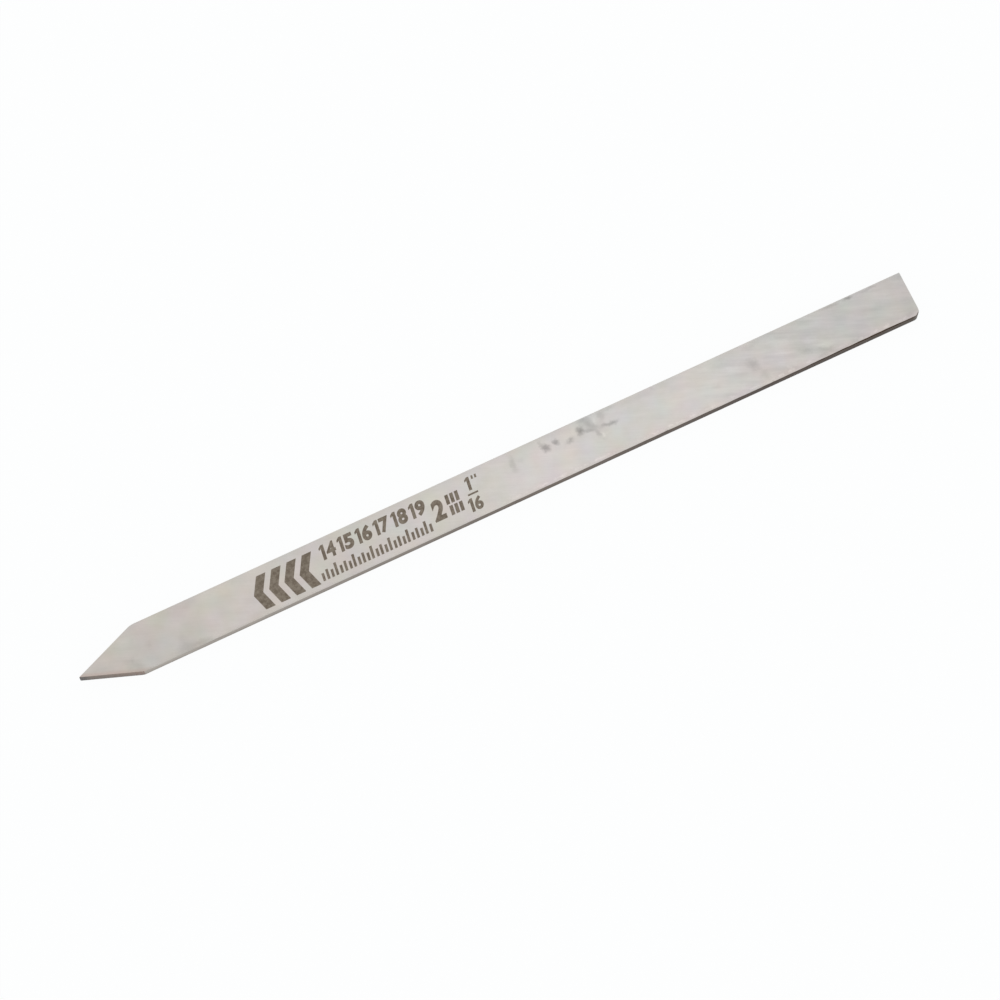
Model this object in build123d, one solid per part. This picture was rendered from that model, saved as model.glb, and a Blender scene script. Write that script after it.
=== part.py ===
from build123d import *
import os
from math import radians, tan

# Slim parting tool blade: one flat bar of high-speed steel, lying on its broad face
# +X from the cutting point to the tail, +Y across the width, +Z up through the thickness

# Driving dimensions, in millimetres and degrees
blade_length = 119.0
blade_width = 6.35
blade_thickness = 2.0
arris_radius = 0.2
# Height of the cutting edge across the width, as a share of it, from the near edge
point_share = 0.449
near_bevel_angle = 20.1
far_bevel_angle = 21.9
far_shoulder_radius = 3.5
tail_corner_radius = 0.85

# Places that follow from them
point_x = -blade_length / 2
tail_x = blade_length / 2
near_y = -blade_width / 2
far_y = blade_width / 2
point_y = near_y + point_share * blade_width
near_shoulder_x = point_x + (point_y - near_y) / tan(radians(near_bevel_angle))
far_shoulder_x = point_x + (far_y - point_y) / tan(radians(far_bevel_angle))


def round_corner(x, y, radius):
    """Round the corner of the sketch in hand that lies at x, y."""
    corner = vertices().sort_by_distance((x, y, 0))[0]
    fillet(corner, radius)


# Bar stock, with its four long arrises eased
with BuildPart() as stock:
    with BuildSketch(Plane.YZ.offset(point_x)):
        RectangleRounded(blade_width, blade_thickness, arris_radius)
    extrude(amount=blade_length)

# Outline seen from above, with the two bevels that meet in the upright cutting edge
with BuildPart() as outline:
    with BuildSketch():
        with BuildLine():
            Polyline(
                (point_x, point_y),
                (near_shoulder_x, near_y),
                (tail_x, near_y),
                (tail_x, far_y),
                (far_shoulder_x, far_y),
                close=True,
            )
        make_face()
        round_corner(far_shoulder_x, far_y, far_shoulder_radius)
        round_corner(tail_x, near_y, tail_corner_radius)
    extrude(amount=blade_thickness)

# The blade is the stock ground to the outline, with its lower face at height 0
blade = stock.part.moved(Location((0, 0, blade_thickness / 2))) & outline.part

os.makedirs("parts", exist_ok=True)
export_step(blade, "parts/blade.step")
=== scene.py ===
from math import cos, pi, radians, sin, sqrt, tan

import bmesh
import bpy
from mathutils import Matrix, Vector, noise
from mathutils.geometry import interpolate_bezier, intersect_point_line


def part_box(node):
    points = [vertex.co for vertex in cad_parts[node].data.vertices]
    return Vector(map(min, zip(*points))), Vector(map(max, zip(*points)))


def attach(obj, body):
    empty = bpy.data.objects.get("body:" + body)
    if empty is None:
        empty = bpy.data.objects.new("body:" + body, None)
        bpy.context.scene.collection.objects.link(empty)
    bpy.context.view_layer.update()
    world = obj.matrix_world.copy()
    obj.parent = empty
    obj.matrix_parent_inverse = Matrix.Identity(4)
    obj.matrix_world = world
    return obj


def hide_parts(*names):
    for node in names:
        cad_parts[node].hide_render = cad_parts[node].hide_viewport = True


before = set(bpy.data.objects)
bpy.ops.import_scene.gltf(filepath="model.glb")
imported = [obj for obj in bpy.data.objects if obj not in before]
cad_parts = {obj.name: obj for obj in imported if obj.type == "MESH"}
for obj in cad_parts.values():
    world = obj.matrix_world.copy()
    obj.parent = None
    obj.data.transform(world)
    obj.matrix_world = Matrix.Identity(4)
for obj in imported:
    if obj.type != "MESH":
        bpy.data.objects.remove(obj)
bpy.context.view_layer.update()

# Slim parting tool blade of ground steel on its lower broad face, with etched marks on the upper one
# Lengths are in millimetres where nothing else is said

MM = 0.001
LOW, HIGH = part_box("blade")

# The blade's own measures, from the frame
LENGTH = (HIGH.x - LOW.x) / MM
WIDTH = (HIGH.y - LOW.y) / MM
THICK = (HIGH.z - LOW.z) / MM
POINT_X = LOW.x / MM
NEAR_Y = LOW.y / MM
TAIL_X = HIGH.x / MM
FAR_Y = HIGH.y / MM

# The point, shoulders, tail corner and arrises, as the solid has them, and a slight ease on its sharp edges
POINT_SHARE = 0.449
NEAR_BEVEL = radians(20.1)
FAR_BEVEL = radians(21.9)
SHOULDER_RADIUS = 3.5
CORNER_RADIUS = 0.85
ARRIS = 0.2
CHAMFER = 0.03
EASED = 0.06
POINT_Y = NEAR_Y + POINT_SHARE * WIDTH
NEAR_SHOULDER_X = POINT_X + (POINT_Y - NEAR_Y) / tan(NEAR_BEVEL)
FAR_SHOULDER_X = POINT_X + (FAR_Y - POINT_Y) / tan(FAR_BEVEL)
SHOULDER_START = FAR_SHOULDER_X - SHOULDER_RADIUS * tan(FAR_BEVEL / 2) * cos(FAR_BEVEL)
SHOULDER_END = FAR_SHOULDER_X + SHOULDER_RADIUS * tan(FAR_BEVEL / 2)

# Wear of the arrises: its mean, as a share of their radius, and how fast it changes along and between them
WEAR = 0.12
WEAR_ALONG = 0.35
WEAR_BETWEEN = 7.3
WEAR_START = 0.5

# Nicks in the arrises: x from the point, half length, depth as a share of the arris, and which arris:
# 2 and -2 are the upper far and near ones, 1 and -1 the lower ones
NICKS = [
    (108.9, 0.5, 0.25, 2),
    (111.3, 0.45, 0.6, 2),
    (114.7, 0.5, 0.3, 2),
    (64.6, 0.3, 0.35, -2),
    (82.0, 0.35, 0.3, -2),
    (97.5, 0.4, 0.3, -2),
]

# How many sections the mesh has in its length, round the far shoulder, where the near bevel cuts the arris,
# round the tail corner and in half a nick, how far the first is behind the point, and their least space
LENGTH_SECTIONS = 240
SHOULDER_SECTIONS = 12
RUN_OUT_SECTIONS = 6
CORNER_SECTIONS = 14
NICK_SECTIONS = 5
BEHIND_POINT = 0.12
LEAST_SPACE = 0.02

# Points of a section, as shares of half the flat of a broad face and of a narrow one, and steps in an arris
ACROSS = [-1, -0.985] + [-1 + 0.2 * i for i in range(1, 10)] + [0.985, 1]
DOWN = [1, 0.94, 0.5, 0, -0.5, -0.94, -1]
ARRIS_STEPS = 6

# How near the level of a broad face a point counts as on it, and, in metres, how near two points are one
ON_LEVEL = 1e-6
SAME_POINT = 5e-7

# Edges that turn by more than the first of these are sharp. The others are the least upright part of a broad
# face's normal, and the least lengthwise part of the tail end's
SHARP = radians(28)
UPRIGHT = 0.5
LENGTHWISE = 0.95


def near_edge(x):
    """Y of the outline's near side at x."""
    into_corner = x - (TAIL_X - CORNER_RADIUS)
    if into_corner > 0:
        return NEAR_Y + CORNER_RADIUS - sqrt(max(0.0, CORNER_RADIUS**2 - into_corner**2))
    return max(NEAR_Y, POINT_Y - (x - POINT_X) * tan(NEAR_BEVEL))


def far_edge(x):
    """Y of the outline's far side at x."""
    if x < SHOULDER_START:
        return POINT_Y + (x - POINT_X) * tan(FAR_BEVEL)
    if x < SHOULDER_END:
        return FAR_Y - SHOULDER_RADIUS + sqrt(SHOULDER_RADIUS**2 - (SHOULDER_END - x) ** 2)
    return FAR_Y


def stations():
    """Where the mesh has a section along X, closer together where the outline turns or is nicked."""
    shoulder = SHOULDER_END - SHOULDER_START
    run_out = ARRIS / tan(NEAR_BEVEL)
    eased_tail = TAIL_X - EASED
    places = {POINT_X, POINT_X + BEHIND_POINT, NEAR_SHOULDER_X, SHOULDER_START, SHOULDER_END, eased_tail}
    places |= {POINT_X + LENGTH * i / LENGTH_SECTIONS for i in range(LENGTH_SECTIONS)}
    places |= {SHOULDER_START + shoulder * i / SHOULDER_SECTIONS for i in range(SHOULDER_SECTIONS)}
    places |= {NEAR_SHOULDER_X - run_out * i / RUN_OUT_SECTIONS for i in range(RUN_OUT_SECTIONS + 1)}
    for i in range(CORNER_SECTIONS):
        places.add(TAIL_X - CORNER_RADIUS * (1 - sin(pi / 2 * i / CORNER_SECTIONS)))
    for x, reach, depth, side in NICKS:
        places |= {POINT_X + x + reach * i / NICK_SECTIONS for i in range(-NICK_SECTIONS, NICK_SECTIONS + 1)}
    kept = []
    for x in sorted(places):
        if x <= eased_tail and (not kept or x - kept[-1] > LEAST_SPACE):
            kept.append(x)
    return kept + [TAIL_X]


def wear(x, side):
    """How far an arris is worn in at x, as a share of its radius. At the point both sides are worn alike."""
    if x == POINT_X:
        side = abs(side)
    share = WEAR * (1 + noise.noise(Vector((x * WEAR_ALONG, side * WEAR_BETWEEN, WEAR_START))))
    for place, reach, depth, nicked_side in NICKS:
        away = abs(x - POINT_X - place) / reach
        if side == nicked_side and away < 1:
            share += depth * (1 - away**2) ** 2
    return share


def section(x):
    """The bar's section at x, clipped to the outline, as a ring of (y, z) with its own arris wear."""
    half_y, half_z = WIDTH / 2, THICK / 2
    flat_y, flat_z = half_y - ARRIS, half_z - ARRIS
    upper = [(share * flat_y, half_z) for share in ACROSS]
    far = [(half_y, share * flat_z) for share in DOWN]
    lower = [(-y, -z) for y, z in upper]
    near = [(-y, -z) for y, z in far]
    ring = []
    for face, side_y, side_z in ((upper, 1, 1), (far, 1, -1), (lower, -1, -1), (near, -1, 1)):
        ring += face
        worn = wear(x, side_y * (2 if side_z > 0 else 1))
        for step in range(1, ARRIS_STEPS):
            angle = pi / 2 * step / ARRIS_STEPS
            out_y, out_z = (sin(angle), cos(angle)) if side_y == side_z else (cos(angle), sin(angle))
            radius = ARRIS * (1 - worn * sin(2 * angle) ** 2)
            ring.append((side_y * (flat_y + radius * out_y), side_z * (flat_z + radius * out_z)))
    return [clip(x, y, z + half_z) for y, z in ring]


def clip(x, y, z):
    """Bring a point of the bar's section inside the outline, with a slight chamfer along ground edges."""
    eased = EASED if x == TAIL_X else 0.0
    low, high = near_edge(x) + eased, far_edge(x) - eased
    level = z > THICK - ON_LEVEL or z < ON_LEVEL
    inset = min(CHAMFER, (high - low) / 2) if level else 0.0
    if y < low + inset or y > high - inset:
        y = min(max(y, low + inset), high - inset)
        if not level or x == POINT_X:
            z = min(max(z, CHAMFER), THICK - CHAMFER)
    return y, min(max(z, eased), THICK - eased)


def blade_mesh():
    """The blade as sections along X, skinned, with its ground faces told apart from the bar's own."""
    mesh = bmesh.new()
    rings = [[mesh.verts.new(Vector((x, y, z)) * MM) for y, z in section(x)] for x in stations()]
    for first, second in zip(rings, rings[1:]):
        for i in range(len(first)):
            j = (i + 1) % len(first)
            mesh.faces.new((first[i], second[i], second[j], first[j]))
    mesh.faces.new(rings[-1])
    bmesh.ops.remove_doubles(mesh, verts=mesh.verts, dist=SAME_POINT)
    bmesh.ops.dissolve_degenerate(mesh, edges=mesh.edges, dist=SAME_POINT)
    bmesh.ops.recalc_face_normals(mesh, faces=mesh.faces)
    for face in mesh.faces:
        face.smooth = True
        face.material_index = 1 if is_ground(face) else 0
    data = bpy.data.meshes.new("ground_blade")
    mesh.to_mesh(data)
    mesh.free()
    data.set_sharp_from_angle(angle=SHARP)
    return data


def is_ground(face):
    """True on the bevels and the tail end."""
    centre = face.calc_center_median() / MM
    if abs(face.normal.z) > UPRIGHT:
        return False
    near_bevel = centre.y < POINT_Y and centre.x < NEAR_SHOULDER_X
    far_bevel = centre.y > POINT_Y and centre.x < SHOULDER_END
    return near_bevel or far_bevel or face.normal.x > LENGTHWISE


def add_piece(name, data, materials):
    """Put a mesh in the scene as a piece of the object."""
    piece = bpy.data.objects.new(name, data)
    bpy.context.scene.collection.objects.link(piece)
    for material in materials:
        data.materials.append(material)
    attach(piece, "root")
    return piece


# The middle of a noise, which runs from 0 to 1
NOISE_MIDDLE = 0.5


class Shader:
    """A material's node tree, with short calls that add a node and link it."""

    def __init__(self, name):
        self.material = bpy.data.materials.new(name)
        self.material.use_nodes = True
        self.tree = self.material.node_tree
        self.surface = self.tree.nodes["Principled BSDF"]

    def add(self, kind, **settings):
        """A new node with the settings given."""
        node = self.tree.nodes.new(kind)
        for key, value in settings.items():
            setattr(node, key, value)
        return node

    def feed(self, socket, value):
        """Link another node's output to an input, or set the input to a fixed value."""
        if isinstance(value, bpy.types.NodeSocket):
            self.tree.links.new(value, socket)
        else:
            socket.default_value = value

    def locate(self):
        """Find the place on the blade: whole, and apart as x from the point, y from the middle, and z."""
        scaled = self.add("ShaderNodeVectorMath", operation="SCALE")
        self.feed(scaled.inputs[0], self.add("ShaderNodeTexCoord").outputs["Object"])
        scaled.inputs["Scale"].default_value = 1 / MM
        self.where = scaled.outputs[0]
        split = self.add("ShaderNodeSeparateXYZ")
        self.feed(split.inputs[0], self.where)
        self.along = self.minus(split.outputs["X"], POINT_X)
        self.across = split.outputs["Y"]
        self.up = split.outputs["Z"]

    def math(self, operation, *values):
        """An operation on numbers."""
        node = self.add("ShaderNodeMath", operation=operation)
        for socket, value in zip(node.inputs, values):
            self.feed(socket, value)
        return node.outputs[0]

    def plus(self, total, *others):
        """Values added up."""
        for other in others:
            total = self.math("ADD", total, other)
        return total

    def minus(self, first, second):
        """The first value less the second."""
        return self.math("SUBTRACT", first, second)

    def times(self, product, *others):
        """Values multiplied."""
        for other in others:
            product = self.math("MULTIPLY", product, other)
        return product

    def vector(self, operation, *values):
        """An operation on vectors."""
        node = self.add("ShaderNodeVectorMath", operation=operation)
        for socket, value in zip(node.inputs, values):
            self.feed(socket, value)
        return node.outputs[0]

    def ramp(self, value, low, high, to_low=0.0, to_high=1.0, smooth=True):
        """A value brought from one range to another, and held at its ends."""
        node = self.add("ShaderNodeMapRange")
        node.interpolation_type = "SMOOTHSTEP" if smooth else "LINEAR"
        for socket, number in zip(node.inputs, (value, low, high, to_low, to_high)):
            self.feed(socket, number)
        return node.outputs[0]

    def mapped(self, where, at=(0, 0, 0), turn=0.0, size=(1, 1, 1)):
        """Coordinates of a frame at a place, turned about Z by degrees, with its own unit along each axis."""
        node = self.add("ShaderNodeMapping", vector_type="TEXTURE")
        self.feed(node.inputs["Vector"], where)
        node.inputs["Location"].default_value = at
        node.inputs["Rotation"].default_value = (0, 0, radians(turn))
        node.inputs["Scale"].default_value = size
        return node.outputs[0]

    def noise(self, where, detail, rough, scale=1.0, colour=False):
        """Clouds from 0 to 1, or three sets of them as a colour."""
        node = self.add("ShaderNodeTexNoise")
        self.feed(node.inputs["Vector"], where)
        node.inputs["Scale"].default_value = scale
        node.inputs["Detail"].default_value = detail
        node.inputs["Roughness"].default_value = rough
        return node.outputs["Color" if colour else "Fac"]

    def stretched(self, size, detail, rough):
        """Clouds from 0 to 1, with their own size along each axis."""
        return self.noise(self.mapped(self.where, size=size), detail, rough)

    def lines(self, turn, long, wide, detail, rough):
        """Grinding lines about zero: clouds of this length and width, turned by degrees."""
        turned = self.mapped(self.where, turn=turn, size=(long, wide, 1))
        return self.minus(self.noise(turned, detail, rough), NOISE_MIDDLE)

    def clouds(self, scale, detail, rough):
        """Clouds about zero."""
        return self.minus(self.noise(self.where, detail, rough, scale), NOISE_MIDDLE)

    def three_clouds(self, scale, detail, rough, reach):
        """Clouds about zero along each axis, each with its own reach."""
        colour = self.noise(self.where, detail, rough, scale, colour=True)
        return self.vector("MULTIPLY", self.vector("SUBTRACT", colour, (NOISE_MIDDLE,) * 3), reach)

    def mix(self, share, first, second, blend="MIX"):
        """Two colours mixed by a share."""
        node = self.add("ShaderNodeMix", data_type="RGBA", blend_type=blend)
        self.feed(node.inputs[0], share)
        for socket, value in zip((node.inputs[6], node.inputs[7]), (first, second)):
            self.feed(socket, value)
        return node.outputs[2]

    def shaded(self, colour, shade):
        """A colour multiplied by a shade."""
        return self.mix(1.0, colour, shade, blend="MULTIPLY")

    def set_surface(self, colour, metallic, rough):
        """Set the surface's colour, share of metal and roughness."""
        self.feed(self.surface.inputs["Base Color"], colour)
        self.feed(self.surface.inputs["Metallic"], metallic)
        self.feed(self.surface.inputs["Roughness"], rough)

    def bump(self, height, distance, strength):
        """Let the light fall as if the surface were raised by a height."""
        node = self.add("ShaderNodeBump")
        self.feed(node.inputs["Height"], height)
        node.inputs["Distance"].default_value = distance
        node.inputs["Strength"].default_value = strength
        self.feed(self.surface.inputs["Normal"], node.outputs[0])


def srgb(red, green, blue):
    """A display colour, 0 to 255, as the linear colour a shader takes."""
    def linear(value):
        share = value / 255
        return share / 12.92 if share <= 0.04045 else ((share + 0.055) / 1.055) ** 2.4
    return (linear(red), linear(green), linear(blue), 1.0)


# Stains and painted glints on the upper face: x from the point, y from the near edge, half length, half
# width, turn in degrees, and how much darker or, below zero, lighter the middle is. First, stains towards the
# point
POINT_STAINS = [
    (3.0, 2.4, 1.8, 0.5, -22, 0.07),
    (6.9, 1.4, 1.8, 0.9, -38, 0.12),
    (7.0, 2.0, 0.6, 0.3, 70, 0.05),
    (7.4, 4.6, 2.4, 1.2, 20, -0.035),
    (7.9, 4.3, 0.6, 0.4, 30, 0.04),
    (9.8, 3.0, 0.7, 0.5, -20, 0.045),
    (13.9, 1.7, 1.0, 0.6, 90, 0.05),
    (14.3, 0.3, 2.1, 1.1, -8, 0.15),
    (16.4, 0.3, 1.5, 0.5, 0, 0.13),
    (16.6, 5.7, 1.2, 0.8, 20, 0.06),
    (23.6, 0.5, 1.2, 0.7, 0, 0.05),
]

# Past the middle, a light stretch and the row of dark stains, with light gaps between them
MIDDLE_STAINS = [
    (66.0, 2.1, 10.0, 2.6, 0, -0.045),
    (62.0, 4.6, 1.3, 0.45, 86, 0.13),
    (62.2, 3.6, 0.6, 0.5, 0, 0.05),
    (63.2, 4.5, 0.5, 0.4, 0, 0.06),
    (66.35, 5.4, 0.8, 0.3, -74, 0.17),
    (66.85, 4.6, 0.85, 0.66, -50, 0.43),
    (68.35, 4.85, 0.62, 0.42, -48, 0.38),
    (70.1, 4.2, 0.75, 0.5, 18, 0.31),
    (70.9, 5.2, 0.7, 0.35, 70, -0.04),
    (71.8, 4.85, 0.8, 0.65, 80, 0.42),
    (72.7, 4.45, 1.2, 0.3, -22, 0.20),
    (72.9, 5.6, 1.5, 1.1, -58, 0.19),
    (72.9, 6.0, 1.2, 0.3, 0, 0.08),
    (73.5, 4.7, 1.1, 0.8, -60, 0.15),
    (73.85, 3.5, 0.65, 0.38, -72, 0.2),
    (74.0, 5.3, 0.7, 0.35, 80, -0.08),
    (74.2, 2.6, 0.7, 0.35, -50, 0.05),
    (74.3, 4.3, 1.1, 0.7, 10, 0.09),
    (74.35, 3.05, 0.5, 0.3, 48, -0.13),
    (75.0, 3.2, 0.4, 0.2, 0, -0.05),
    (75.0, 4.18, 0.7, 0.32, 5, 0.20),
    (75.1, 5.5, 1.0, 0.75, 60, 0.17),
    (76.1, 4.05, 1.1, 0.42, -4, 0.36),
    (76.3, 6.0, 1.6, 0.3, 0, 0.10),
]

# Painted glints: bright dashes along the near edge, painted in as highlights on the steel
PAINTED_NEAR_GLINTS = [
    (60.8, 0.36, 0.5, 0.2, 0, -0.08),
    (64.4, 0.36, 1.2, 0.2, 0, -0.10),
    (67.2, 0.36, 0.8, 0.2, 0, -0.10),
    (72.2, 0.36, 0.7, 0.2, 0, -0.11),
    (73.8, 0.36, 0.3, 0.2, 0, -0.08),
    (80.4, 0.36, 0.5, 0.2, -25, -0.11),
    (82.8, 0.36, 0.5, 0.22, -15, -0.13),
    (84.4, 0.36, 0.6, 0.2, -15, -0.13),
    (86.2, 0.36, 0.4, 0.2, 0, -0.07),
    (88.8, 0.36, 0.3, 0.25, 40, -0.11),
    (91.8, 0.36, 0.7, 0.2, -20, -0.11),
    (94.9, 0.36, 0.9, 0.2, 0, -0.13),
    (99.0, 0.36, 0.3, 0.2, 0, -0.07),
    (100.2, 0.8, 0.6, 0.25, -50, -0.10),
    (102.8, 0.36, 0.5, 0.2, 0, -0.13),
    (107.4, 0.46, 0.6, 0.2, 0, -0.11),
    (112.5, 0.46, 0.5, 0.2, 0, -0.11),
    (114.2, 0.46, 0.6, 0.25, 20, -0.16),
    (116.9, 0.46, 0.3, 0.2, 70, -0.11),
]

# Streaks and stains towards the tail, dark and light
TAIL_STREAKS = [
    (81.5, 5.75, 4.8, 0.65, 0, 0.06),
    (82.7, 5.95, 0.55, 0.25, -35, 0.08),
    (84.4, 3.7, 1.5, 1.6, 0, -0.05),
    (89.5, 2.6, 2.6, 2.2, 0, -0.03),
    (90.4, 2.6, 0.9, 0.5, 10, 0.06),
    (91.6, 4.8, 2.0, 0.7, -14, 0.055),
    (93.5, 4.4, 3.2, 0.55, -16, 0.065),
    (95.6, 3.4, 2.3, 3.4, 0, 0.035),
    (96.1, 3.25, 1.25, 0.9, -55, 0.19),
    (96.9, 1.3, 1.0, 0.75, -75, 0.12),
    (96.9, 5.7, 1.6, 0.6, 0, 0.09),
    (100.3, 1.2, 2.6, 0.5, -20, -0.05),
    (101.3, 4.7, 3.6, 0.45, -20, 0.06),
    (103.0, 1.95, 1.5, 0.42, -24, 0.11),
    (104.3, 3.0, 2.2, 0.42, -22, -0.09),
    (105.0, 0.45, 1.0, 0.3, 0, 0.09),
    (105.5, 1.75, 1.8, 0.35, -20, -0.07),
    (105.7, 1.0, 1.4, 0.42, -22, 0.11),
    (109.7, 0.4, 1.3, 0.35, 0, 0.10),
    (114.9, 0.6, 0.5, 0.3, 0, 0.05),
    (117.3, 2.4, 2.4, 1.1, -20, 0.05),
    (117.6, 0.6, 1.0, 0.4, 0, 0.09),
    (118.0, 1.5, 1.5, 1.3, 10, 0.07),
    (118.4, 5.8, 1.6, 0.9, -40, 0.07),
]

# Dark marks at the nicks in the far edge
NICK_STAINS = [
    (108.8, 6.05, 1.7, 0.28, 0, 0.16),
    (111.3, 6.05, 0.8, 0.32, 0, 0.36),
    (114.4, 6.05, 1.3, 0.25, 0, 0.15),
]
# The stains are the steel's own; the glints among them are painted highlights
STAINS_AND_GLINTS = POINT_STAINS + MIDDLE_STAINS + PAINTED_NEAR_GLINTS + TAIL_STREAKS + NICK_STAINS

# Ranges, here and below, say where a change starts and ends and, if it isn't from 0 to 1, what there is
# before and after it. Those along the blade are measured from the point

# A mark ends at this many times its half length and width, from which it grows over this range inwards. How
# far its outline wanders, and the range of heights that keeps it off the lower face
SPREAD = 1.2
MARK_GROWS = (0.0, 0.95)
WANDER = (0.9, 0.9, 0.0)
UPPER_FACE = (THICK - 0.3, THICK - 0.1)


def worn_spots(shader):
    """How the stains and the painted glints change the upper face's tone, each a soft oval with a wandering
    outline.
    """
    wander = shader.three_clouds(scale=1.6, detail=3.0, rough=0.6, reach=WANDER)
    flat = shader.vector("MULTIPLY", shader.vector("ADD", shader.where, wander), (1, 1, 0))
    total = 0.0
    for x, y, long, wide, turn, depth in STAINS_AND_GLINTS:
        at = (POINT_X + x, NEAR_Y + y, 0)
        # The oval comes before the ball that it feeds, or too many values wait at once and the steel is black
        oval = shader.mapped(flat, at, turn, (SPREAD * long, SPREAD * wide, 1))
        ball = shader.add("ShaderNodeTexGradient", gradient_type="SPHERICAL")
        shader.feed(ball.inputs[0], oval)
        total = shader.math("MULTIPLY_ADD", shader.ramp(ball.outputs["Fac"], *MARK_GROWS), depth, total)
    return shader.times(total, shader.ramp(shader.up, *UPPER_FACE))


# The broad faces' tint by the point and by the tail, the range between, how far clouds move it there, and how
# far others change its red, green and blue
TINT_BY_POINT = srgb(203, 197, 190)
TINT_BY_TAIL = srgb(200.4, 197.6, 194.6)
TINT_ALONG = (5, 110)
TINT_CLOUDS = 1.4
HUES = (0.09, 0.05, 0.08)


def steel_tint(shader):
    """Warm towards the point and neutral towards the tail, with faint clouds of both and of other hues."""
    cloud = shader.times(shader.clouds(scale=0.25, detail=4.0, rough=0.55), TINT_CLOUDS)
    drift = shader.plus(shader.ramp(shader.along, *TINT_ALONG, smooth=False), cloud)
    tint = shader.mix(shader.ramp(drift, 0, 1, smooth=False), TINT_BY_POINT, TINT_BY_TAIL)
    return shader.vector("ADD", tint, shader.three_clouds(scale=0.32, detail=1.0, rough=0.4, reach=HUES))


# How light the broad faces are along the blade, as ranges that multiply: painted light, lightest past the
# middle where a lamp's reflection would lie. The rim by the far edge: its range across, how dark it is along
# the blade, and where it fades
PAINTED_LIGHT = [
    (15, 19, 0.885, 0.94),
    (30, 64, 1.0, 1.08),
    (60, 72, 1.0, 1.016),
    (88, 112, 1.0, 0.875),
]
RIM_ACROSS = (FAR_Y - 1.3, FAR_Y - 0.2)
RIM_DARKENS = (20, 60, -0.01, 0.04)
RIM_FADES = (90, 110, 1.0, 0.2)


def steel_tone(shader):
    """Painted light: lightest past the middle and darker towards the point and the tail, and darker by the
    far edge.
    """
    tone = 1.0
    for tone_range in PAINTED_LIGHT:
        tone = shader.times(tone, shader.ramp(shader.along, *tone_range))
    rim = shader.times(shader.ramp(shader.across, *RIM_ACROSS), shader.ramp(shader.along, *RIM_DARKENS))
    rim = shader.times(rim, shader.ramp(shader.along, *RIM_FADES))
    return shader.times(tone, shader.minus(1.0, rim))


# How much broad, fine and hair lines and patches change the tone, and where broad and fine lines show
BROAD_LINES = 0.36
FINE_LINES = 0.1
HAIR_LINES = 0.16
PATCHES = 0.14
LINES_SHOW = (76, 100, 0.35, 1.0)


def steel_shade(shader, broad, fine):
    """Grinding lines, which show most towards the tail, hairlines, patches, stains and painted glints."""
    lines = shader.plus(shader.times(broad, BROAD_LINES), shader.times(fine, FINE_LINES))
    lines = shader.times(lines, shader.ramp(shader.along, *LINES_SHOW))
    hair = shader.times(shader.lines(turn=-21, long=4, wide=0.06, detail=3.0, rough=0.6), HAIR_LINES)
    patches = shader.times(shader.clouds(scale=0.5, detail=3.0, rough=0.6), PATCHES)
    return shader.minus(shader.plus(lines, patches, hair, 1.0), worn_spots(shader))


# The brown along the near bevel: its ranges away from the bevel and along the blade, and how strong it is
TEMPERED = srgb(170, 140, 130)
TEMPERED_INWARD = (0.0, 0.7, 1.0, 0.0)
TEMPERED_ALONG = (8.5, 10.0, 1.0, 0.0)
TEMPERED_SHARE = 0.35


def tempered_edge(shader):
    """The faint brown tint left on the broad faces by the grinding of the near bevel."""
    inward = shader.plus(shader.times(shader.along, tan(NEAR_BEVEL)), shader.minus(shader.across, POINT_Y))
    close = shader.ramp(inward, *TEMPERED_INWARD)
    return shader.times(close, shader.ramp(shader.along, *TEMPERED_ALONG), TEMPERED_SHARE)


# The pink by the near edge, by which the steel's colour is multiplied, and its ranges across and along
BLUSH = srgb(255, 251, 252)
BLUSH_ACROSS = (NEAR_Y + 1.3, NEAR_Y + 0.2)
BLUSH_ALONG = (50, 75)


def near_blush(shader):
    """A trace of pink by the near edge, from the middle on."""
    return shader.times(shader.ramp(shader.across, *BLUSH_ACROSS), shader.ramp(shader.along, *BLUSH_ALONG))


# Painted highlight: the arrises, and a strip of broken dashes by the near edge as glints, are painted in
# bright steel.
# Ranges of an arris below the broad face and along the blade, and of the strip of dashes across, along the
# blade, and in the short and long clouds that break it up
PAINTED_HIGHLIGHT = srgb(228, 223, 217)
ARRIS_BELOW = (0.0, 0.008)
ARRIS_ALONG = (10, 45, 0.1, 0.2)
STRIP_STARTS = (NEAR_Y + 0.15, NEAR_Y + 0.3)
STRIP_ENDS = (NEAR_Y + 0.4, NEAR_Y + 0.6, 1.0, 0.0)
STRIP_ALONG = (50, 65, 0.0, 0.35)
SHORT_BREAKS = (0.5, 0.62)
LONG_BREAKS = (0.4, 0.58)


def rubbed_bright(shader, depth):
    """Where a highlight is painted on the arrises, with broken painted glints along the near edge of the
    broad faces.
    """
    strip = shader.times(shader.ramp(shader.across, *STRIP_STARTS), shader.ramp(shader.across, *STRIP_ENDS))
    short = shader.ramp(shader.stretched((0.8, 3, 3), detail=3.0, rough=0.6), *SHORT_BREAKS)
    long = shader.ramp(shader.stretched((7, 30, 30), detail=2.0, rough=0.5), *LONG_BREAKS)
    strip = shader.times(strip, shader.times(short, long), shader.ramp(shader.along, *STRIP_ALONG))
    arris = shader.ramp(depth, *ARRIS_BELOW, smooth=False)
    return shader.math("MAXIMUM", shader.times(arris, shader.ramp(shader.along, *ARRIS_ALONG)), strip)


# Painted dark reflection on the narrow faces, for the dark surroundings that they mirror: its colour by the
# point, and how it turns, as the start and end of each change along the blade and the colour after it
PAINTED_SIDES_BY_POINT = srgb(175, 168, 160)
PAINTED_SIDES_TURNS = [
    (10, 60, srgb(113, 100, 90)),
    (60, 95, srgb(65, 47, 35)),
    (95, 119, srgb(61, 43, 23)),
]

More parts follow.
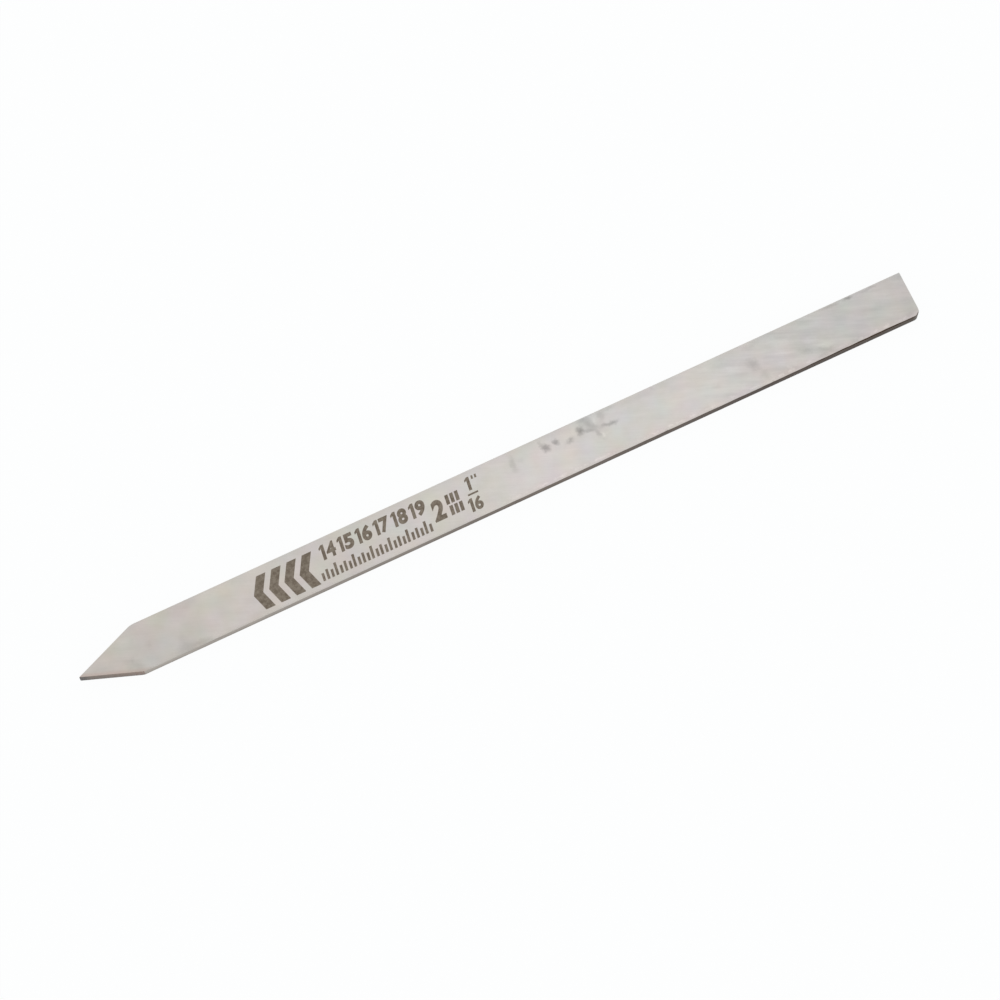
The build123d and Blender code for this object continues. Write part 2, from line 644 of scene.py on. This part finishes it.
# Its colour on the rounded tail corner, with ranges along the blade and across, and how its tone changes with
# its grain and with the height on the narrow face
PAINTED_SIDES_ON_CORNER = srgb(104, 97, 90)
CORNER_ALONG = (LENGTH - 1.4, LENGTH - 0.4)
CORNER_ACROSS = (0.1, -0.1)
GRAIN_TONE = (0.3, 0.7, 0.8, 1.2)
HEIGHT_TONE = (0.2, 1.2, 0.76, 1.0)


def oxide_colour(shader, grain):
    """Painted dark reflection, deeper towards the tail, greyer on the rounded tail corner and darker low
    down.
    """
    colour = PAINTED_SIDES_BY_POINT
    for start, end, turned in PAINTED_SIDES_TURNS:
        colour = shader.mix(shader.ramp(shader.along, start, end, smooth=False), colour, turned)
    corner = shader.ramp(shader.along, *CORNER_ALONG)
    corner = shader.times(corner, shader.ramp(shader.across, *CORNER_ACROSS))
    colour = shader.mix(corner, colour, PAINTED_SIDES_ON_CORNER)
    grain_tone = shader.ramp(grain, *GRAIN_TONE, smooth=False)
    return shader.shaded(colour, shader.times(grain_tone, shader.ramp(shader.up, *HEIGHT_TONE)))


# How deep below a broad face the painted dark of the narrow faces starts along the blade, as ranges that add
# up, and at least on the far half. How much its grain, and the way inwards from the side, hold it back, and
# its soft border
PAINTED_SIDES_START = [
    (40, 80, 0.2, 0.1),
    (96, 113, 0.0, -0.13),
    (LENGTH - 5.0, LENGTH - 2.0, 0.0, 0.035),
    (LENGTH - 0.85, LENGTH - 0.35, 0.0, -0.1),
]
FAR_HALF_STARTS = (-0.1, 0.1, -1.0, 0.2)
GRAIN_HOLDS = 0.15
INWARD_HOLDS = 0.3
FURTHER_IN = (NEAR_Y + 0.2, NEAR_Y + 0.9)
PAINTED_SIDES_BORDER = (0.0, 0.08)


def past_near_side(shader):
    """How far a place is from the bar's near side, round the tail corner, and up to 1 more further in."""
    right = shader.math("MAXIMUM", shader.minus(shader.along, LENGTH - CORNER_RADIUS), 0.0)
    down = shader.math("MAXIMUM", shader.minus(NEAR_Y + CORNER_RADIUS, shader.across), 0.0)
    square = shader.plus(shader.times(right, right), shader.times(down, down))
    inward = shader.minus(CORNER_RADIUS, shader.math("SQRT", square))
    return shader.plus(inward, shader.ramp(shader.across, *FURTHER_IN))


def oxide_cover(shader, depth, grain):
    """Where the painted dark reflection covers the steel: the narrow faces, and over the near arrises towards
    the tail.
    """
    needed = 0.0
    for depth_range in PAINTED_SIDES_START:
        needed = shader.plus(needed, shader.ramp(shader.along, *depth_range))
    needed = shader.math("MAXIMUM", needed, shader.ramp(shader.across, *FAR_HALF_STARTS))
    needed = shader.plus(needed, shader.times(shader.minus(grain, NOISE_MIDDLE), GRAIN_HOLDS))
    side = shader.math("MINIMUM", past_near_side(shader), shader.minus(FAR_Y, shader.across))
    reached = shader.minus(depth, shader.times(side, INWARD_HOLDS))
    return shader.ramp(shader.minus(reached, needed), *PAINTED_SIDES_BORDER)


# How rough the steel is, and how much rougher broad lines and the painted dark narrow faces make it. The
# grinding lines' depth in metres, and the broad ones' share of it
STEEL_ROUGH = 0.36
LINES_ROUGH = 0.15
PAINTED_SIDES_ROUGH = 0.16
GRIND_DEPTH = 0.000004
BROAD_DEPTH = 0.6


def bar_steel():
    """Satin ground steel of the bar: broad faces light, narrow faces painted dark as a dark reflection."""
    shader = Shader("bar_steel")
    shader.locate()
    broad = shader.lines(turn=-19, long=5, wide=0.95, detail=2.0, rough=0.45)
    fine = shader.lines(turn=-23, long=5, wide=0.3, detail=2.0, rough=0.5)
    grain = shader.stretched((2.5, 0.4, 0.4), detail=4.0, rough=0.65)
    depth = shader.math("MINIMUM", shader.up, shader.minus(THICK, shader.up))

    # Painted light along the broad faces, times their grinding lines, stains and painted glints
    light = shader.times(steel_shade(shader, broad, fine), steel_tone(shader))
    face = shader.shaded(steel_tint(shader), light)
    face = shader.mix(tempered_edge(shader), face, TEMPERED)
    face = shader.mix(near_blush(shader), face, BLUSH, blend="MULTIPLY")
    # A highlight painted on the arrises, and painted glints by the near edge
    face = shader.mix(rubbed_bright(shader, depth), face, PAINTED_HIGHLIGHT)

    # The narrow faces painted dark, standing in for the dark surroundings that they mirror
    painted_dark = oxide_cover(shader, depth, grain)
    rough = shader.plus(shader.times(broad, LINES_ROUGH), shader.times(painted_dark, PAINTED_SIDES_ROUGH), STEEL_ROUGH)
    shader.set_surface(shader.mix(painted_dark, face, oxide_colour(shader, grain)), metallic=1.0, rough=rough)
    shader.bump(shader.plus(shader.times(broad, BROAD_DEPTH), fine), distance=GRIND_DEPTH, strength=0.6)
    return shader.material


# Bevels and tail end: the burnt point, and how the steel turns from there, as the start and end of each
# change along the blade, the colour after it and if it is smooth. How the tone changes with the height and
# the lines, and the roughness with the lines
BURNT = srgb(46, 34, 27)
GROUND_TURNS = [
    (0.2, 1.6, srgb(96, 76, 61), True),
    (2.5, 8.0, srgb(123, 98, 84), False),
    (12.0, 20.0, srgb(138, 131, 124), True),
]
GROUND_HEIGHT_TONE = (0.2, THICK - 0.2, 0.66, 1.2)
GROUND_LINES_TONE = (0.3, 0.7, 0.85, 1.15)
GROUND_LINES_ROUGH = (0.3, 0.7, 0.34, 0.44)


def bevel_steel():
    """Ground steel of the bevels and the tail end, with upright grinding lines and a burnt point."""
    shader = Shader("bevel_steel")
    shader.locate()
    lines = shader.stretched((0.12, 0.12, 3.0), detail=3.0, rough=0.6)
    colour = BURNT
    for start, end, turned, smooth in GROUND_TURNS:
        colour = shader.mix(shader.ramp(shader.along, start, end, smooth=smooth), colour, turned)
    height_tone = shader.ramp(shader.up, *GROUND_HEIGHT_TONE, smooth=False)
    lines_tone = shader.ramp(lines, *GROUND_LINES_TONE, smooth=False)
    colour = shader.shaded(colour, shader.times(height_tone, lines_tone))
    shader.set_surface(colour, metallic=1.0, rough=shader.ramp(lines, *GROUND_LINES_ROUGH, smooth=False))
    shader.bump(lines, distance=GRIND_DEPTH, strength=0.5)
    return shader.material


# Floor of the etched marks: its darkest and lightest, the range of clouds between, and its grain's depth in
# metres
ETCHED_DARK = srgb(114, 103, 90)
ETCHED_LIGHT = srgb(139, 129, 116)
ETCHED_CLOUDS = (0.36, 0.66)
ETCHED_DEPTH = 0.000006


def etched_steel():
    """The dark, slightly uneven floor of an etched mark."""
    shader = Shader("etched_steel")
    shader.locate()
    cloud = shader.noise(shader.where, scale=2.2, detail=4.0, rough=0.65)
    colour = shader.mix(shader.ramp(cloud, *ETCHED_CLOUDS), ETCHED_DARK, ETCHED_LIGHT)
    shader.set_surface(colour, metallic=0.35, rough=0.62)
    shader.surface.inputs["Specular IOR Level"].default_value = 0.25
    grain = shader.noise(shader.where, scale=14.0, detail=3.0, rough=0.6)
    shader.bump(grain, distance=ETCHED_DEPTH, strength=0.5)
    return shader.material


# Etched marks: how much they lean, as a share of their height, and how far they go down into the face and
# stand proud of it. Their x is from the point and their y from the near edge
LEAN = 0.13
SUNK = 0.02
PROUD = 0.003

# Arrowheads: how many, where the first starts, their pitch and size, and their stroke, measured along X
ARROWHEADS = 4
ARROWHEAD_X = 24.5
ARROWHEAD_Y = 0.65
ARROWHEAD_PITCH = 2.15
ARROWHEAD_WIDE = 2.35
ARROWHEAD_TALL = 4.55
ARROWHEAD_STROKE = 1.32

# Numbers of the scale of depth, in tenths of an inch: how far each starts before its own tick, its height,
# the width of its ten, and where its digit starts and how wide that is
TENTH = 2.54
TENTHS = range(14, 20)
NUMBER_BEFORE = 1.07
NUMBER_Y = 3.35
NUMBER_TALL = 2.05
TEN_WIDE = 0.72
DIGIT_AFTER = 0.87
DIGIT_WIDE = 1.32

# Ticks of the scale, one at each quarter of a tenth: their width, and their heights
QUARTERS = range(53, 78)
TICK_Y = 0.85
TICK_WIDE = 0.36
TENTH_TICK = 1.7
HALF_TICK = 1.35
QUARTER_TICK = 1.05

# Size marks: boxes of the numerals and the fraction's line, as x, y, width and height
LARGE_TWO = (49.9, 1.68, 1.7, 2.82)
UPPER_ONE = (55.3, 3.72, 0.68, 1.8)
FRACTION_LINE = (55.0, 3.1, 1.45, 0.24)
LOWER_ONE = (54.5, 0.9, 0.66, 1.82)
LOWER_SIX = (55.32, 0.9, 1.12, 1.82)

# The block of strokes after the large 2, and the pair of strokes after the upper 1: the box of the first,
# how many there are across and up, and their pitch
BLOCK_STROKE = (52.1, 1.68, 0.48, 1.3)
BLOCK_COUNT = (3, 2)
BLOCK_PITCH = (0.68, 1.54)
PAIR_STROKE = (56.35, 5.02, 0.27, 0.48)
PAIR_COUNT = (2, 1)
PAIR_PITCH = (0.48, 0.0)

# The numeral 1: its stem as a share of its width, the stem's top as a share of the stem, and, as shares of
# its height, its flag's tip, the flag's lower corner and the flag's root
ONE_STEM = 0.62
ONE_TOP = 0.8
FLAG_TIP = 0.84
FLAG_LOWER = 0.68
FLAG_ROOT = 0.77

# Other numerals, as shares of their size: steps in a curve, the least space between points, how little a
# straight stretch bends, and how much of its weight a thickened outline keeps at least
CURVE_STEPS = 10
POINT_SPACE = 0.004
STRAIGHT = 1e-5
KEPT_WEIGHT = 0.99

# Their weight, which is how far the outline moves outwards, as shares of their size: in the size marks, in
# the numbers of the scale, and in a 4, where it is least, so that its eye stays open
BOLD = 0.045
BOLDER = 0.052
BOLD_FOUR = 0.035


def on_face(x, y, middle):
    """A point of a mark on the upper face, leaned over about the mark's own middle height."""
    return (POINT_X + x + LEAN * (y - middle), NEAR_Y + y)


def add_prism(mesh, rings, middle):
    """Stand a shallow prism on an outline, which may have holes, sunk into the upper face."""
    rims = {THICK - SUNK: [], THICK + PROUD: []}
    for ring in rings:
        levels = []
        for z, rim in rims.items():
            level = [mesh.verts.new((*on_face(x, y, middle), z)) for x, y in ring]
            rim += [mesh.edges.new((level[i - 1], level[i])) for i in range(len(level))]
            levels.append(level)
        low, high = levels
        for i in range(len(ring)):
            mesh.faces.new((low[i - 1], low[i], high[i], high[i - 1]))
    for rim in rims.values():
        bmesh.ops.triangle_fill(mesh, edges=rim, use_beauty=True)


def add_bar(mesh, x, y, wide, tall):
    """A plain bar with its lower left corner at x, y."""
    outline = [(x, y), (x + wide, y), (x + wide, y + tall), (x, y + tall)]
    add_prism(mesh, [outline], y + tall / 2)


def add_bars(mesh, box, count, pitch):
    """Rows of plain bars, the first with the box given."""
    x, y, wide, tall = box
    for row in range(count[1]):
        for column in range(count[0]):
            add_bar(mesh, x + pitch[0] * column, y + pitch[1] * row, wide, tall)


def add_arrowhead(mesh, x, y, wide, tall, stroke):
    """A bold arrowhead that points to the cutting edge."""
    middle = y + tall / 2
    outline = [
        (x, middle),
        (x + wide - stroke, y),
        (x + wide, y),
        (x + stroke, middle),
        (x + wide, y + tall),
        (x + wide - stroke, y + tall),
    ]
    add_prism(mesh, [outline], middle)


def add_one(mesh, x, y, wide, tall):
    """The numeral 1, a stem with a flag."""
    stem = ONE_STEM * wide
    outline = [
        (x + wide - stem, y),
        (x + wide, y),
        (x + wide, y + tall),
        (x + wide - ONE_TOP * stem, y + tall),
        (x, y + FLAG_TIP * tall),
        (x, y + FLAG_LOWER * tall),
        (x + wide - stem, y + FLAG_ROOT * tall),
    ]
    add_prism(mesh, [outline], y + tall / 2)


def signed_area(ring):
    """The area of a ring of points, above zero where it runs anticlockwise."""
    return sum(a.x * b.y - b.x * a.y for a, b in zip(ring[-1:] + ring[:-1], ring)) / 2


def is_line(start, end):
    """True where the stretch of an outline between two of its points is straight."""
    chord = end.co - start.co
    bends = (chord.cross(start.handle_right - start.co), chord.cross(end.handle_left - end.co))
    return max(bend.length for bend in bends) < STRAIGHT


def numeral_rings(text):
    """The outlines of a thin numeral, outer and inner, as rings of points with the stroke on their left."""
    curve = bpy.data.curves.new("numeral", "FONT")
    curve.body = text
    holder = bpy.data.objects.new("numeral", curve)
    bpy.context.scene.collection.objects.link(holder)
    rings = []
    for spline in holder.to_curve(bpy.context.evaluated_depsgraph_get()).splines:
        ring = []
        points = list(spline.bezier_points)
        for start, end in zip(points, points[1:] + points[:1]):
            steps = 2 if is_line(start, end) else CURVE_STEPS
            ring += interpolate_bezier(start.co, start.handle_right, end.handle_left, end.co, steps)[:-1]
        rings.append([place for i, place in enumerate(ring) if (place - ring[i - 1]).length > POINT_SPACE])
    bpy.data.objects.remove(holder)
    bpy.data.curves.remove(curve)
    outer = max(rings, key=lambda ring: abs(signed_area(ring)))
    if signed_area(outer) < 0:
        rings = [ring[::-1] for ring in rings]
    return rings


def distance(place, start, end):
    """How far a place is from the line between two points."""
    share = intersect_point_line(place, start, end)[1]
    return (place - start.lerp(end, min(max(share, 0), 1))).length


def thickened(rings, weight):
    """Outlines moved outwards, without the points that would cross over in a narrow inner corner."""
    edges = [(ring[i - 1], ring[i]) for ring in rings for i in range(len(ring))]
    thick = []
    for ring in rings:
        kept = []
        for before, here, after in zip(ring[-1:] + ring[:-1], ring, ring[1:] + ring[:1]):
            into = (here - before).normalized()
            out_of = (after - here).normalized()
            sideways = Vector((into.y + out_of.y, -into.x - out_of.x, 0)) / (1 + into.dot(out_of))
            moved = here + sideways * weight
            if all(distance(moved, start, end) > KEPT_WEIGHT * weight for start, end in edges):
                kept.append(moved)
        thick.append(kept)
    return thick


def add_numeral(mesh, text, x, y, wide, tall, weight=BOLD):
    """Another numeral, fitted to a box whose lower left corner is at x, y. A 9 is a 6 turned half round."""
    rings = thickened(numeral_rings("6" if text == "9" else text), weight)
    if text == "9":
        rings = [[-place for place in ring] for ring in rings]
    xs = [place.x for ring in rings for place in ring]
    ys = [place.y for ring in rings for place in ring]
    left, low = min(xs), min(ys)
    across = wide / (max(xs) - left)
    up = tall / (max(ys) - low)
    fitted = [[(x + across * (place.x - left), y + up * (place.y - low)) for place in ring] for ring in rings]
    add_prism(mesh, fitted, y + tall / 2)


def finish_marks(name, mesh, material):
    """Turn gathered prisms into one piece."""
    bmesh.ops.scale(mesh, vec=(MM, MM, MM), verts=mesh.verts)
    bmesh.ops.recalc_face_normals(mesh, faces=mesh.faces)
    data = bpy.data.meshes.new(name)
    mesh.to_mesh(data)
    mesh.free()
    add_piece(name, data, [material])


def add_arrowheads(material):
    """Arrowheads in a row, which point to the cutting edge."""
    mesh = bmesh.new()
    for i in range(ARROWHEADS):
        x = ARROWHEAD_X + ARROWHEAD_PITCH * i
        add_arrowhead(mesh, x, ARROWHEAD_Y, ARROWHEAD_WIDE, ARROWHEAD_TALL, ARROWHEAD_STROKE)
    finish_marks("etched_arrowheads", mesh, material)


def add_scale_numbers(material):
    """The numbers of the scale of depth, each a ten and a digit."""
    mesh = bmesh.new()
    for tenths in TENTHS:
        left = TENTH * tenths - NUMBER_BEFORE
        add_one(mesh, left, NUMBER_Y, TEN_WIDE, NUMBER_TALL)
        digit = str(tenths)[1]
        weight = BOLD_FOUR if digit == "4" else BOLDER
        add_numeral(mesh, digit, left + DIGIT_AFTER, NUMBER_Y, DIGIT_WIDE, NUMBER_TALL, weight)
    finish_marks("etched_scale_numbers", mesh, material)


def add_scale_ticks(material):
    """The ticks of the scale of depth, tallest at the tenths."""
    mesh = bmesh.new()
    for quarters in QUARTERS:
        tall = TENTH_TICK if quarters % 4 == 0 else HALF_TICK if quarters % 2 == 0 else QUARTER_TICK
        add_bar(mesh, TENTH * quarters / 4 - TICK_WIDE / 2, TICK_Y, TICK_WIDE, tall)
    finish_marks("etched_scale_ticks", mesh, material)


def add_size(material):
    """The bar's thickness, as plain numbers in both measures with a block of short strokes between."""
    mesh = bmesh.new()
    add_numeral(mesh, "2", *LARGE_TWO)
    add_bars(mesh, BLOCK_STROKE, BLOCK_COUNT, BLOCK_PITCH)
    add_one(mesh, *UPPER_ONE)
    add_bars(mesh, PAIR_STROKE, PAIR_COUNT, PAIR_PITCH)
    add_bar(mesh, *FRACTION_LINE)
    add_one(mesh, *LOWER_ONE)
    add_numeral(mesh, "6", *LOWER_SIX)
    finish_marks("etched_size", mesh, material)


# Floor: half its side in metres, how far it lies under the blade, its own colour, the colour that the
# camera and polished metal see, and how much of that they see
FLOOR_HALF = 3.0
FLOOR_DROP = 0.05
FLOOR_MATT = (0.86, 0.87, 0.88, 1)
FLOOR_SEEN = srgb(254.2, 254.9, 255)
FLOOR_SHARE = 0.97

# Surround: how strongly it lights the blade, and how bright the camera and polished metal see it
SURROUND_LIT = 0.85
SURROUND_SEEN = 0.985
WHITE = (1.0, 1.0, 1.0, 1)

# Lamp: its size and place in metres, and its power in watts
LAMP_SIZE = 0.5
LAMP_PLACE = (0.08, 0.16, 0.65)
LAMP_POWER = 0.06

# Camera, at the photograph's viewing angle: what it looks at, as x from the point and y from the near edge,
# its distance in metres, its lens and sensor, and the nearest that it sees, in metres
VIEW_X = 58.706
VIEW_Y = 1.405
VIEW_AZIMUTH = radians(-25.534)
VIEW_ELEVATION = radians(74.350)
VIEW_DISTANCE = 0.52265
VIEW_LENS = 145.34
VIEW_SENSOR = 36.0
VIEW_NEAREST = 0.01


def seen_directly(tree):
    """1 for rays from the camera, off metal and through glass, else 0."""
    path = tree.nodes.new("ShaderNodeLightPath")
    seen = path.outputs["Is Camera Ray"]
    for name in ("Is Glossy Ray", "Is Transmission Ray"):
        either = tree.nodes.new("ShaderNodeMath")
        either.operation = "MAXIMUM"
        tree.links.new(seen, either.inputs[0])
        tree.links.new(path.outputs[name], either.inputs[1])
        seen = either.outputs[0]
    return seen


def pale_floor():
    """Matt and pale, paler still to the camera, and clear from below."""
    shader = Shader("pale_floor")
    tree = shader.tree
    matt = shader.add("ShaderNodeBsdfDiffuse")
    matt.inputs["Color"].default_value = FLOOR_MATT
    glow = shader.add("ShaderNodeEmission")
    glow.inputs["Color"].default_value = FLOOR_SEEN
    top = shader.add("ShaderNodeMixShader")
    shader.feed(top.inputs[0], shader.times(seen_directly(tree), FLOOR_SHARE))
    shader.feed(top.inputs[1], matt.outputs[0])
    shader.feed(top.inputs[2], glow.outputs[0])
    sides = shader.add("ShaderNodeMixShader")
    shader.feed(sides.inputs[0], shader.add("ShaderNodeNewGeometry").outputs["Backfacing"])
    shader.feed(sides.inputs[1], top.outputs[0])
    shader.feed(sides.inputs[2], shader.add("ShaderNodeBsdfTransparent").outputs[0])
    shader.feed(tree.nodes["Material Output"].inputs["Surface"], sides.outputs[0])
    tree.nodes.remove(shader.surface)
    return shader.material


def add_floor():
    """A plain pale floor just under the blade, which keeps its soft shadow and hides nothing from below."""
    data = bpy.data.meshes.new("floor")
    corners = [(-1, -1), (1, -1), (1, 1), (-1, 1)]
    data.from_pydata([(x * FLOOR_HALF, y * FLOOR_HALF, 0) for x, y in corners], [], [(0, 1, 2, 3)])
    data.materials.append(pale_floor())
    floor = bpy.data.objects.new("floor", data)
    bpy.context.scene.collection.objects.link(floor)
    floor.location.z = -FLOOR_DROP * MM


def add_surround():
    """A surround that lights evenly from all round and looks as pale as the floor."""
    world = bpy.data.worlds.new("studio")
    bpy.context.scene.world = world
    world.use_nodes = True
    tree = world.node_tree
    lit = tree.nodes["Background"]
    seen = tree.nodes.new("ShaderNodeBackground")
    for background, strength in ((lit, SURROUND_LIT), (seen, SURROUND_SEEN)):
        background.inputs["Color"].default_value = WHITE
        background.inputs["Strength"].default_value = strength
    either = tree.nodes.new("ShaderNodeMixShader")
    tree.links.new(seen_directly(tree), either.inputs[0])
    tree.links.new(lit.outputs[0], either.inputs[1])
    tree.links.new(seen.outputs[0], either.inputs[2])
    tree.links.new(either.outputs[0], tree.nodes["World Output"].inputs["Surface"])


def add_lamp():
    """One large soft lamp overhead, aimed at the blade's middle."""
    lamp = bpy.data.lights.new("overhead", "AREA")
    lamp.shape = "DISK"
    lamp.size = LAMP_SIZE
    lamp.energy = LAMP_POWER
    holder = bpy.data.objects.new("overhead", lamp)
    bpy.context.scene.collection.objects.link(holder)
    holder.location = LAMP_PLACE
    holder.rotation_euler = (-holder.location).to_track_quat("-Z", "Y").to_euler()


def add_camera():
    """The camera, which sees the blade as the photograph does."""
    data = bpy.data.cameras.new("camera")
    data.lens = VIEW_LENS
    data.sensor_width = VIEW_SENSOR
    data.clip_start = VIEW_NEAREST
    camera = bpy.data.objects.new("camera", data)
    bpy.context.scene.collection.objects.link(camera)
    back = Vector((
        sin(VIEW_AZIMUTH) * cos(VIEW_ELEVATION),
        -cos(VIEW_AZIMUTH) * cos(VIEW_ELEVATION),
        sin(VIEW_ELEVATION),
    ))
    target = Vector((POINT_X + VIEW_X, NEAR_Y + VIEW_Y, 0)) * MM
    camera.location = target + back * VIEW_DISTANCE
    camera.rotation_euler = back.to_track_quat("Z", "Y").to_euler()
    bpy.context.scene.camera = camera


blade = add_piece("ground_blade", blade_mesh(), [bar_steel(), bevel_steel()])
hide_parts("blade")
etched = etched_steel()
add_arrowheads(etched)
add_scale_numbers(etched)
add_scale_ticks(etched)
add_size(etched)
add_floor()
add_surround()
add_lamp()
add_camera()
bpy.context.scene.view_settings.view_transform = "Standard"
